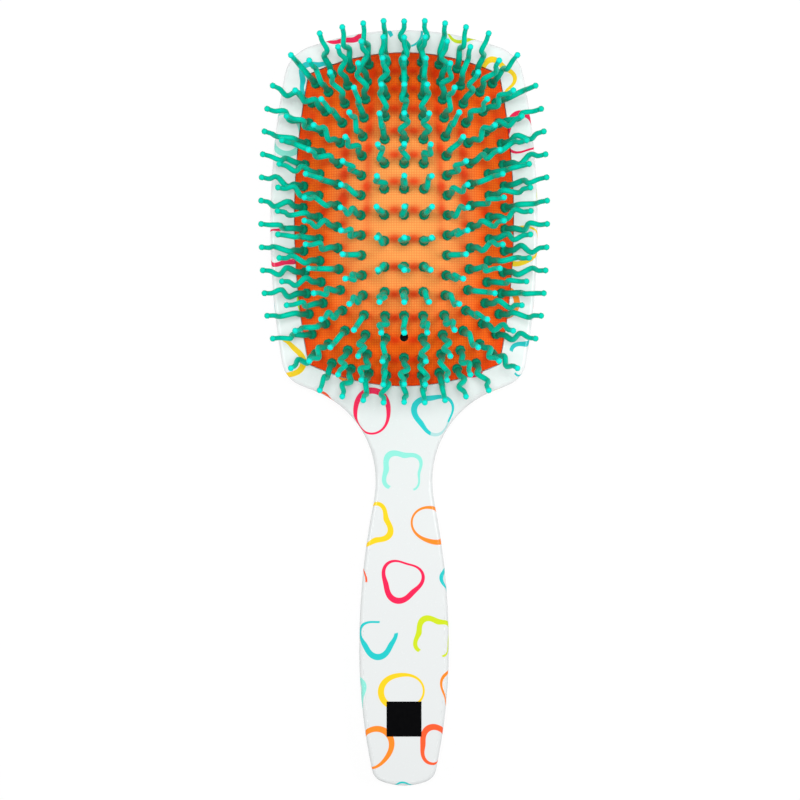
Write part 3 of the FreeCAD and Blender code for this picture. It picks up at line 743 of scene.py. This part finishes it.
# %% [markdown]
# ## The air vent
# One small hole lets the air in and out when the cushion is pressed. A dark spot would do from
# above, but not from the side, so a real hole is cut: a straight tube is taken away from the sheet
# with a Boolean modifier, and the result is kept as the sheet's own mesh.

# %% Vent
VENT_RADIUS = 1.35
VENT_SIDES = 32


def pierce(piece, middle, radius, length):
    """A round upright hole: cosine and sine rings half the length below and above the middle make the tube."""
    turn = np.linspace(0, 2 * math.pi, VENT_SIDES, endpoint=False)
    ring = middle + radius * np.stack([np.cos(turn), np.sin(turn), np.zeros(VENT_SIDES)], axis=-1)
    points = np.concatenate([ring - [0, 0, length / 2], ring + [0, 0, length / 2]])
    faces = grid_faces(2, VENT_SIDES, wrap_columns=True).tolist()
    faces += [list(range(VENT_SIDES))[::-1], list(range(VENT_SIDES, 2 * VENT_SIDES))]
    tool = new_piece("vent_tool", points, faces, piece.data.materials[0], smooth=False)
    cut = piece.modifiers.new("vent", "BOOLEAN")
    cut.object = tool
    cut.solver = "EXACT"
    view = bpy.context.evaluated_depsgraph_get()
    pierced = bpy.data.meshes.new_from_object(piece.evaluated_get(view))
    piece.modifiers.clear()
    piece.data = pierced
    bpy.data.objects.remove(tool)
    print("pierced %s: %d faces" % (piece.name, len(pierced.polygons)))


pierce(cushion, pin_foot[is_vent][0], VENT_RADIUS, 4 * SHEET)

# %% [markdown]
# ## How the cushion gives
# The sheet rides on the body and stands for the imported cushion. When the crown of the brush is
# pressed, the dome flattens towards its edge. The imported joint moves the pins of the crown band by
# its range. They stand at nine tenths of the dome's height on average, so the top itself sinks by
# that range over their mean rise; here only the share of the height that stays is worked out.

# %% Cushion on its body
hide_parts("cushion")
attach(cushion, "paddle")
on_crown = (pin_band == BANDS.index("crown")) & ~is_vent
CROWN_RISE = round(float(pin_rise[on_crown].mean()), 4)
CRUSH = frame["joints"][0]["range_m"][1] / CROWN_RISE / (DOME_HEIGHT * MM)
1 - CRUSH
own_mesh(cushion)
print("crown pins stand at %.4f of the dome, which keeps %.1f%% of its height" % (CROWN_RISE, 100 * (1 - CRUSH)))

# %% [markdown]
# ## Pins
# Each pin is one moulding in nylon: a round collar that sits on the rubber, a shaft that swings once
# to each side, and a ball that spares the scalp. A cylinder with a sphere on top would show a seam
# between them. So the pin is one surface: a profile of radii carried up a path. The profile comes
# first, from the collar to the ball.

# %% Pin profile
PIN_LENGTH = 22.0
SHAFT_BASE, SHAFT_END = 1.1, 0.72
SHAFT_START = 1.5
SHAFT_RINGS = 20
BALL_RADIUS = 1.0
BALL_RINGS = 6
# polar angle left open at the tip, where a point closes the ball
TIP_OPENING = 0.12
# heights and radii of the collar's rings, from the rubber up to the root of the shaft
COLLAR_RINGS = [(-0.5, 0.95), (-0.3, 1.62), (0.0, 1.7), (0.62, 1.7), (0.92, 1.58), (1.08, 1.3), (1.16, 1.05)]


def pin_profile():
    """Heights and radii of all rings: collar, tapered shaft, then a ball as sine and cosine of a polar angle."""
    shaft = np.linspace(SHAFT_START, PIN_LENGTH - 2.1 * BALL_RADIUS, SHAFT_RINGS)
    shaft_radius = SHAFT_BASE + (SHAFT_END - SHAFT_BASE) * shaft / PIN_LENGTH
    start = math.asin(SHAFT_END / BALL_RADIUS)
    polar = np.linspace(math.pi - start, TIP_OPENING, BALL_RINGS)
    ball_height = PIN_LENGTH - BALL_RADIUS + BALL_RADIUS * np.cos(polar)
    ball_radius = BALL_RADIUS * np.sin(polar)
    collar = np.array(COLLAR_RINGS)
    return (np.concatenate([collar[:, 0], shaft, ball_height]),
            np.concatenate([collar[:, 1], shaft_radius, ball_radius]))


print("a pin is %.0f mm long and has %d rings" % (PIN_LENGTH, len(pin_profile()[0])))

# %% [markdown]
# ## The double bend
# The bends let a pin give way in the hair without tearing it. Between straight ends the path leaves
# the straight line by a sine that swells and fades, so there is no kink where the bends begin. The
# rings stand square to the path, or the shaft would look pinched where it slants. As there are 168
# pins, the rings have only eight sides, and smooth shading rounds them.

# %% Pin on its wave
WAVE_START, WAVE_END = 0.2, 0.82
WAVE_AMPLITUDE = 1.25
# the highest value that sin(2 pi p) sin(pi p) reaches
WAVE_PEAK = 0.77
WAVE_STEP = 0.01
PIN_SIDES = 8


def wave(share):
    """Sideways place at a share of the length: sin(2 pi p) sin(pi p) over the waved stretch."""
    phase = np.clip((share - WAVE_START) / (WAVE_END - WAVE_START), 0, 1)
    return WAVE_AMPLITUDE * np.sin(2 * math.pi * phase) * np.sin(math.pi * phase) / WAVE_PEAK


def pin_points():
    """One upright pin: rings square to the wavy path, and a point to close each end."""
    height, radius = pin_profile()
    side = wave(height / PIN_LENGTH)
    slope = (wave((height + WAVE_STEP) / PIN_LENGTH) - wave((height - WAVE_STEP) / PIN_LENGTH)) / (2 * WAVE_STEP)
    lean = np.arctan(slope)
    angle = np.linspace(0, 2 * math.pi, PIN_SIDES, endpoint=False)
    x = side[:, None] + radius[:, None] * np.cos(angle) * np.cos(lean)[:, None]
    y = radius[:, None] * np.sin(angle) * np.ones_like(height)[:, None]
    z = height[:, None] - radius[:, None] * np.cos(angle) * np.sin(lean)[:, None]
    rings = np.stack([x, y, z], axis=-1).reshape(-1, 3)
    ends = np.array([[0, 0, height[0]], [0, 0, PIN_LENGTH]])
    return np.concatenate([rings, ends]), len(height)


def pin_faces(rings):
    """Faces of one pin: four-sided round the rings, and triangles from the last two points at both ends."""
    low, high = rings * PIN_SIDES, rings * PIN_SIDES + 1
    last = (rings - 1) * PIN_SIDES
    here = np.arange(PIN_SIDES)
    following = (here + 1) % PIN_SIDES
    bottom = np.column_stack([following, here, np.full(PIN_SIDES, low)])
    top = np.column_stack([last + here, last + following, np.full(PIN_SIDES, high)])
    return grid_faces(rings, PIN_SIDES, wrap_columns=True), np.concatenate([bottom, top])


one_pin, pin_rings = pin_points()
print("one pin: %d points, %d faces" % (len(one_pin), sum(map(len, pin_faces(pin_rings)))))

# %% [markdown]
# ## Nylon
# Dyed nylon is a little see-through. Light that really passes through would be slow to work out, so
# light is painted into the colour instead: the roots are painted darker, a painted shade, and the ball
# ends are painted bright, a painted glow that is strongest on pins that point up at the light. The
# mesh carries each point's share of the pin's length, and the colour follows it.

# %% Pin material
# painted light: painted shade at the roots, painted glow on the ball ends of upright pins
ROOT_SHADE_TEAL, SHAFT_TEAL = (0, 132, 100), (0, 202, 172)
TIP_GLOW_TEAL, CLOUD_TEAL = (16, 234, 222), (0, 150, 122)


def pin_nylon():
    """Teal nylon, with painted shade at the root and a painted glow at the ball."""
    material, shader, place = new_material("pin_nylon", IOR=1.45, Specular_IOR_Level=0.06)
    share = place.node("ShaderNodeAttribute", {"attribute_name": "pin_share"}, None, 2)
    painted_glow = place.node("ShaderNodeAttribute", {"attribute_name": "pin_painted_glow"}, None, 2)
    shaft = share.step(0.0, 0.5).blend(colour(*ROOT_SHADE_TEAL), colour(*SHAFT_TEAL))
    tip = painted_glow.blend(shaft, colour(*TIP_GLOW_TEAL))
    plug((noise(place, 500.0, 2.0) * 0.2).blend(tip, colour(*CLOUD_TEAL)), shader, "Base Color")
    plug(noise(place, 1500.0, 2.0) * 0.1 + 0.28, shader, "Roughness")
    plug(bump(noise(place, 1400.0, 2.0), 0.00002), shader, "Normal")
    return material


nylon = pin_nylon()

# %% [markdown]
# ## Turning and tipping a pin
# Each pin is first turned about its own line, so that its bends face its own way, and then tipped
# over until it points along its lean. Both steps are one small matrix of nine numbers. Angles one
# after another would do the same, but they are easy to take in the wrong order, and the matrix for
# tipping comes straight from the direction.

# %% Turning and tipping
def turn_matrices(lean, turn):
    """Rotations that first turn about Z by turn and then tip Z onto lean: rows are pins."""
    x, y, z = lean[:, 0], lean[:, 1], lean[:, 2]
    one = np.ones_like(x)
    tip = np.stack([
        np.stack([one - x * x / (1 + z), -x * y / (1 + z), x], axis=-1),
        np.stack([-x * y / (1 + z), one - y * y / (1 + z), y], axis=-1),
        np.stack([-x, -y, z], axis=-1)], axis=1)
    c, s, zero = np.cos(turn), np.sin(turn), np.zeros_like(turn)
    spin = np.stack([
        np.stack([c, -s, zero], axis=-1),
        np.stack([s, c, zero], axis=-1),
        np.stack([zero, zero, one], axis=-1)], axis=1)
    return tip @ spin


pin_matrices = turn_matrices(pin_lean, pin_turn)
print("matrices: %d of %d by %d" % pin_matrices.shape)

# %% [markdown]
# ## Pins, one piece for each node
# The upright pin is turned, tipped and moved to each foot, all pins at once. All pins of a packed
# node share one mesh and stand for that node, because they move together when the cushion is
# pressed. Copies of one object would look the same, but they would have to stay turned and moved,
# and a finished piece keeps its place in its mesh.

# %% Pins
def make_pins(node, body, chosen):
    """The chosen pins as one piece: matrix times point plus root, with the faces numbered on from pin to pin."""
    placed = np.einsum("pij,vj->pvi", pin_matrices[chosen], one_pin) + pin_root[chosen][:, None, :]
    offset = np.arange(len(chosen))[:, None, None] * len(one_pin)
    faces = [(part[None] + offset).reshape(-1, part.shape[1]).tolist() for part in pin_faces(pin_rings)]
    share = np.tile(one_pin[:, 2] / PIN_LENGTH, len(chosen))
    upright = np.repeat(smooth_step(pin_lean[chosen, 2], 0.8, 0.98), len(one_pin))
    # painted glow on the ball ends of pins that point up
    painted_glow = smooth_step(share, 0.84, 0.97) * upright
    piece = new_piece(node + "_nylon", placed.reshape(-1, 3), faces[0] + faces[1], nylon,
                      {"pin_share": share, "pin_painted_glow": painted_glow})
    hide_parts(node)
    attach(piece, body)


for band_number, band in enumerate(BANDS):
    for face_name in ("left", "right", "top", "bottom"):
        chosen = np.flatnonzero((pin_band == band_number) & (pin_face == face_name) & ~is_vent)
        if len(chosen):
            make_pins("pins_%s_%s" % (band, face_name), band + "_pins", chosen)

# %% [markdown]
# ## Floor and room
# The brush lies on a pale board in a white room. A real white board under soft light comes out grey,
# and more lamps would burn out the brush. So board and room shine plain white to the camera and to
# mirror rays, and stay dim for the rays that carry light. The board keeps a tenth of its true shade,
# which is enough for a soft shadow under the brush.

# %% Floor and room
FLOOR_HALF = 3000.0
FLOOR_SHINE = 0.9
FILL = 0.32


def seen_directly(wire):
    """1 for rays from the camera, mirror rays and rays through glass, 0 for rays that carry light."""
    camera_ray, mirror_ray, glass_ray = (
        wire.node("ShaderNodeLightPath", output=kind)
        for kind in ("Is Camera Ray", "Is Glossy Ray", "Is Transmission Ray"))
    return camera_ray.math("MAXIMUM", mirror_ray).math("MAXIMUM", glass_ray)


def make_floor():
    """A wide square of pale, dull board; to the camera most of it shines plain white."""
    material, shader, place = new_material("floor_white", Roughness=0.9, Specular_IOR_Level=0.0)
    shader.inputs["Base Color"].default_value = colour(250, 250, 250)
    plain = Wire(material.node_tree, shader.outputs[0])
    shine = place.node("ShaderNodeEmission", None, {"Color": (1, 1, 1, 1), "Strength": 1.0})
    board = place.node("ShaderNodeMixShader", None, {0: seen_directly(place) * FLOOR_SHINE, 1: plain, 2: shine})
    plug(board, material.node_tree.nodes["Material Output"], "Surface")
    square = [[x * FLOOR_HALF, y * FLOOR_HALF, BACK_FACE] for x, y in ((-1, -1), (1, -1), (1, 1), (-1, 1))]
    new_piece("floor", square, [[0, 1, 2, 3]], material)


def make_sky():
    """A white room: bright to look at, dim as a lamp."""
    world = bpy.data.worlds.new("studio")
    bpy.context.scene.world = world
    world.use_nodes = True
    sky = world.node_tree.nodes["Background"]
    sky.inputs["Color"].default_value = (1, 1, 1, 1)
    plug(seen_directly(Wire(world.node_tree, sky.outputs[0])) * (1 - FILL) + FILL, sky, "Strength")
    print("room: looks like 1.0, lights like %.2f" % FILL)


make_floor()
make_sky()

# %% [markdown]
# ## Lamps
# Two soft lamps stand at the sides, the right one a little stronger, so that the pins have a light
# and a dark side. A third hangs over the head and lights the crown of the cushion. Each is a square
# that shines one way, as a studio box does: a point lamp would throw hard shadows from 168 pins.

# %% Lamps
LAMP_SIZE = 0.2
AIM = (0.0, -0.01, 0.02)


def soft_lamp(name, place, power):
    """A square lamp in metres and watts that looks at the brush."""
    lamp = bpy.data.lights.new(name, "AREA")
    lamp.shape = "RECTANGLE"
    lamp.size, lamp.size_y = LAMP_SIZE, LAMP_SIZE
    lamp.energy = power
    holder = bpy.data.objects.new(name, lamp)
    holder.location = place
    holder.rotation_euler = (Vector(AIM) - Vector(place)).to_track_quat("-Z", "Y").to_euler()
    bpy.context.scene.collection.objects.link(holder)
    print("%s: %.2f W" % (name, power))
    return holder


soft_lamp("left_lamp", (-0.323, -0.02, 0.51), 0.9)
soft_lamp("right_lamp", (0.323, -0.02, 0.51), 1.25)
top_lamp = soft_lamp("top_lamp", (0.0, -0.01, 0.75), 2.75)
# no mirror image of this lamp: it would burn a white patch into the gloss right under the camera
top_lamp.visible_glossy = False

# %% [markdown]
# ## Camera
# The camera looks straight down on the brush from half a metre. A camera without any tilt needs no
# turning at all, as a new one already looks down. From so near, the pins at the sides lean outwards
# in the view, as they do to the eye. A longer lens from further off would flatten them.

# %% Camera
CAMERA_HEIGHT = 0.518
FOCAL_LENGTH, SENSOR_WIDTH = 70.2, 36.0
camera_data = bpy.data.cameras.new("camera")
camera_data.lens = FOCAL_LENGTH
camera_data.sensor_width = SENSOR_WIDTH
camera = bpy.data.objects.new("camera", camera_data)
camera.location = (-0.0013, -0.0585, CAMERA_HEIGHT)
bpy.context.scene.collection.objects.link(camera)
bpy.context.scene.camera = camera
bpy.context.scene.view_settings.view_transform = "Standard"
print("the camera sees %.0f mm at the table" % (CAMERA_HEIGHT * SENSOR_WIDTH / FOCAL_LENGTH / MM))
